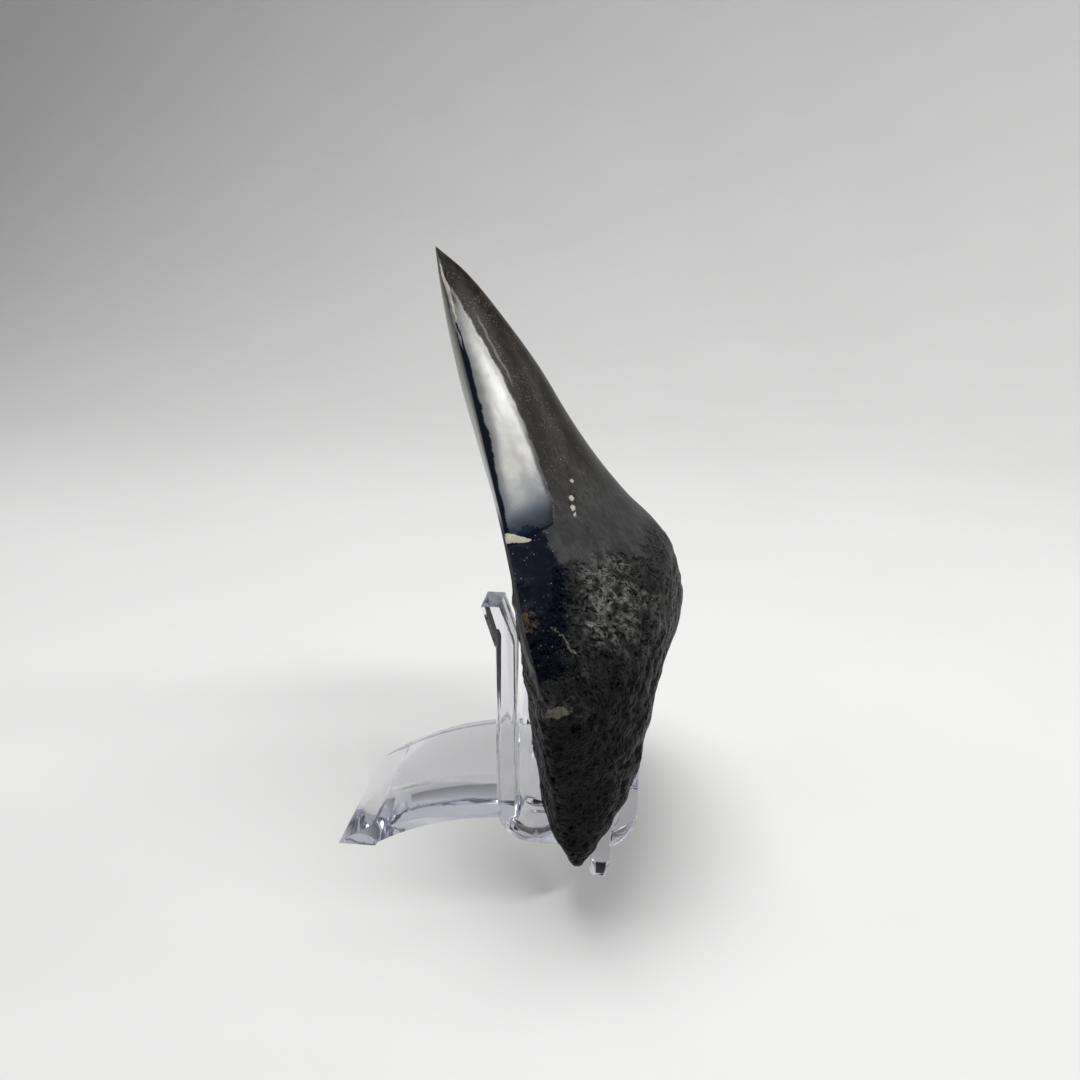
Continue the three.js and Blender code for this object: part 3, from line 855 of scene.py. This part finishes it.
def plate_outline():
    """The arched rear leg, cut flat at its foot, from its foot up to its crest."""
    centre_z = PLATE_CREST_Z - PLATE_RADIUS
    inner_radius = PLATE_RADIUS - PLATE_THICKNESS
    outer = np.linspace(PLATE_CREST_X, FOOT_TIP_X, 3 * ARC_STEPS)
    inner = np.linspace(FOOT_TIP_X + FOOT_LENGTH, PLATE_CREST_X, 3 * ARC_STEPS)

    def arc_point(x, radius):
        return (x, centre_z + math.sqrt(radius**2 - (x - PLATE_CREST_X) ** 2))

    return [
        (FOOT_TIP_X + FOOT_LENGTH, 0.0),
        *[arc_point(x, inner_radius) for x in inner[1:]],
        *[arc_point(x, PLATE_RADIUS) for x in outer[:-1]],
        (FOOT_TIP_X, 0.0),
    ]


def web_outline():
    """The plate's front end, which dips from the crest to just below the arms."""
    bottom = PLATE_CREST_Z - PLATE_THICKNESS
    front_bottom = WEB_FRONT_TOP_Z - PLATE_THICKNESS + 1.0
    middle_x = (PLATE_CREST_X + WEB_FRONT_X) / 2

    def curve(start, middle, end):
        steps = np.linspace(0, 1, ARC_STEPS + 1)
        return [tuple((1 - t) ** 2 * np.array(start) + 2 * t * (1 - t) * np.array(middle)
                      + t**2 * np.array(end)) for t in steps]

    return [
        (PLATE_CREST_X - 2, bottom),
        *curve((PLATE_CREST_X, bottom), (middle_x, bottom), (WEB_FRONT_X, front_bottom)),
        *curve((WEB_FRONT_X, WEB_FRONT_TOP_Z), (middle_x, PLATE_CREST_Z),
               (PLATE_CREST_X, PLATE_CREST_Z)),
        (PLATE_CREST_X - 2, PLATE_CREST_Z),
    ]


def chip_outline():
    """A wedge off the rear corner of the near upright's top."""
    tip_x = bar_outline()[0][0]
    return [
        (tip_x - CHIP_SIZE, UPRIGHT_TOP_Z - 0.5 * CHIP_SIZE),
        (tip_x + CHIP_SIZE, UPRIGHT_TOP_Z + 0.5 * CHIP_SIZE),
        (tip_x - CHIP_SIZE, UPRIGHT_TOP_Z + CHIP_SIZE),
    ]


def prism(name, outline, from_y, to_y):
    """A solid from an outline in X and Z in mm, extruded from one Y to another."""
    count = len(outline)
    verts = [(x * MM, y * MM, z * MM) for y in (from_y, to_y) for x, z in outline]
    sides = [(i, (i + 1) % count, count + (i + 1) % count, count + i) for i in range(count)]
    faces = [list(range(count))[::-1], list(range(count, 2 * count)), *sides]
    mesh = bpy.data.meshes.new(name)
    mesh.from_pydata(verts, [], faces)
    shape = bmesh.new()
    shape.from_mesh(mesh)
    bmesh.ops.recalc_face_normals(shape, faces=shape.faces)
    shape.to_mesh(mesh)
    shape.free()
    solid = bpy.data.objects.new(name, mesh)
    bpy.context.collection.objects.link(solid)
    return solid


def combine(base, other, operation):
    """Joins other to base, or cuts it away, and removes other."""
    step = base.modifiers.new("combine", "BOOLEAN")
    step.operation = operation
    step.solver = "EXACT"
    step.object = other
    apply_modifiers(base)
    bpy.data.objects.remove(other)


def apply_modifiers(solid):
    shaped = solid.evaluated_get(bpy.context.evaluated_depsgraph_get())
    mesh = bpy.data.meshes.new_from_object(shaped)
    solid.modifiers.clear()
    solid.data = mesh


def build_stand():
    stand = prism("stand_clear", plate_outline(), -PLATE_HALF_WIDTH, PLATE_HALF_WIDTH)
    parts = [prism("web", web_outline(), -BAR_INNER_Y - 0.5, BAR_INNER_Y + 0.5)]
    for from_y in (-BAR_OUTER_Y, BAR_INNER_Y):
        to_y = from_y + BAR_OUTER_Y - BAR_INNER_Y
        parts.append(prism("bar", bar_outline(), from_y, to_y))
        parts.append(prism("peg", peg_outline(), from_y, to_y))
    for part in parts:
        combine(stand, part, "UNION")
    chip = prism("chip", chip_outline(), -BAR_INNER_Y - CHIP_SIZE, -BAR_INNER_Y + CHIP_SIZE)
    combine(stand, chip, "DIFFERENCE")
    bevel = stand.modifiers.new("soft_edges", "BEVEL")
    bevel.width = EDGE_ROUNDING * MM
    bevel.segments = 3
    bevel.limit_method = "ANGLE"
    bevel.angle_limit = math.radians(35)
    apply_modifiers(stand)
    low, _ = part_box("stand")
    stand.data.transform(Matrix.Translation((low.x - FOOT_TIP_X * MM, 0, 0)))
    stand.data.polygons.foreach_set("use_smooth", [True] * len(stand.data.polygons))
    stand.data.set_sharp_from_angle(angle=math.radians(32))
    stand.data.materials.clear()
    stand.data.materials.append(clear_plastic())
    stand.visible_shadow = False  # clear plastic hardly shades what is under it
    stand.visible_diffuse = False
    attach(stand, "root")
    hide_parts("stand")


# ------------------------------------------------------------------ studio
ROOM_LIGHT = 0.12
ROOM_THROUGH_PLASTIC = 0.65  # the clear plastic gathers light from pale things all round
FLOOR_DROP = -0.06 * MM  # the floor is a hair below the stand, so the plastic shows clear
BEND_STEPS = 24


def pale_card():
    n = Nodes("pale_card")
    coords = n.tree.nodes.new("ShaderNodeTexCoord").outputs["Object"]
    tone = n.ramp(n.noise(coords, 9.0, 3), 0.3, 0.7)
    n.link(n.colour(tone, (0.80, 0.80, 0.79), (0.82, 0.82, 0.81)), n.shader.inputs["Base Color"])
    n.shader.inputs["Roughness"].default_value = 0.7
    return n.material


def build_backdrop():
    """A pale floor that sweeps up behind the object, as card does in a small studio."""
    half_width, front, back, bend, top = 1.6, -1.2, 0.40, 0.65, 1.6
    profile = [(front, FLOOR_DROP)]
    for i in range(BEND_STEPS + 1):
        turn = math.pi / 2 * i / BEND_STEPS
        profile.append((back + bend * math.sin(turn), FLOOR_DROP + bend * (1 - math.cos(turn))))
    profile.append((back + bend, top))
    verts = [(x, y, z) for y, z in profile for x in (-half_width, half_width)]
    faces = [(2 * i, 2 * i + 1, 2 * i + 3, 2 * i + 2) for i in range(len(profile) - 1)]
    mesh = bpy.data.meshes.new("backdrop")
    mesh.from_pydata(verts, [], faces)
    mesh.polygons.foreach_set("use_smooth", [True] * len(mesh.polygons))
    mesh.materials.append(pale_card())
    backdrop = bpy.data.objects.new("backdrop", mesh)
    bpy.context.collection.objects.link(backdrop)


def softbox(name, place, target, size, power, along=(0.0, 1.0, 0.0)):
    """A rectangular lamp facing its target, its longer side turned along a direction."""
    light = bpy.data.lights.new(name, "AREA")
    light.shape = "RECTANGLE"
    light.size, light.size_y = size
    light.energy = power
    lamp = bpy.data.objects.new(name, light)
    back = (Vector(place) - Vector(target)).normalized()
    side = Vector(along).cross(back).cross(back).normalized() * -1
    lamp.matrix_world = Matrix.Translation(place) @ Matrix(
        (side, back.cross(side), back)).transposed().to_4x4()
    bpy.context.collection.objects.link(lamp)


def light_studio():
    """A strip that mirrors in the enamel, a soft top light, and washes at both sides."""
    centre = (0.0, 0.0, 0.08)
    softbox("strip", (0.362, -0.204, 0.535), centre, (0.36, 0.085), 1.4, (-0.20, -0.21, 0.10))
    softbox("top", (-0.06, 0.10, 0.78), (-0.05, 0.02, 0.0), (0.55, 0.45), 4.5)
    softbox("left_fill", (-0.7, 0.1, 0.35), centre, (0.5, 0.5), 0.5)
    softbox("right_wash", (0.85, 0.30, 0.55), (0.60, 0.8, 0.14), (0.4, 0.4), 2.7)
    world = bpy.data.worlds.new("studio")
    world.use_nodes = True
    sky = world.node_tree.nodes["Background"]
    sky.inputs["Color"].default_value = (0.95, 0.97, 1.0, 1)
    rays = world.node_tree.nodes.new("ShaderNodeLightPath")
    strength = world.node_tree.nodes.new("ShaderNodeMapRange")
    strength.inputs["To Min"].default_value = ROOM_LIGHT
    strength.inputs["To Max"].default_value = ROOM_THROUGH_PLASTIC
    world.node_tree.links.new(rays.outputs["Is Transmission Ray"], strength.inputs["Value"])
    world.node_tree.links.new(strength.outputs["Result"], sky.inputs["Strength"])
    bpy.context.scene.world = world
    cycles = bpy.context.scene.cycles  # enough bounces to see through the plastic's edges
    cycles.max_bounces, cycles.glossy_bounces, cycles.transmission_bounces = 32, 24, 24


# ------------------------------------------------------------------ camera
CAMERA_PLACE = (0.03285, -0.234, 0.1429)
CAMERA_PITCH = math.radians(17.3)
CAMERA_TURN = math.radians(6.5)


def place_camera():
    lens = bpy.data.cameras.new("camera")
    lens.sensor_width = 36.0
    lens.lens = 36.0
    lens.clip_start = 0.01
    camera = bpy.data.objects.new("camera", lens)
    camera.location = CAMERA_PLACE
    camera.rotation_euler = (math.pi / 2 - CAMERA_PITCH, 0.0, CAMERA_TURN)
    bpy.context.collection.objects.link(camera)
    bpy.context.scene.camera = camera


bpy.context.scene.view_settings.view_transform = "Standard"
build_tooth()
build_stand()
build_backdrop()
light_studio()
place_camera()
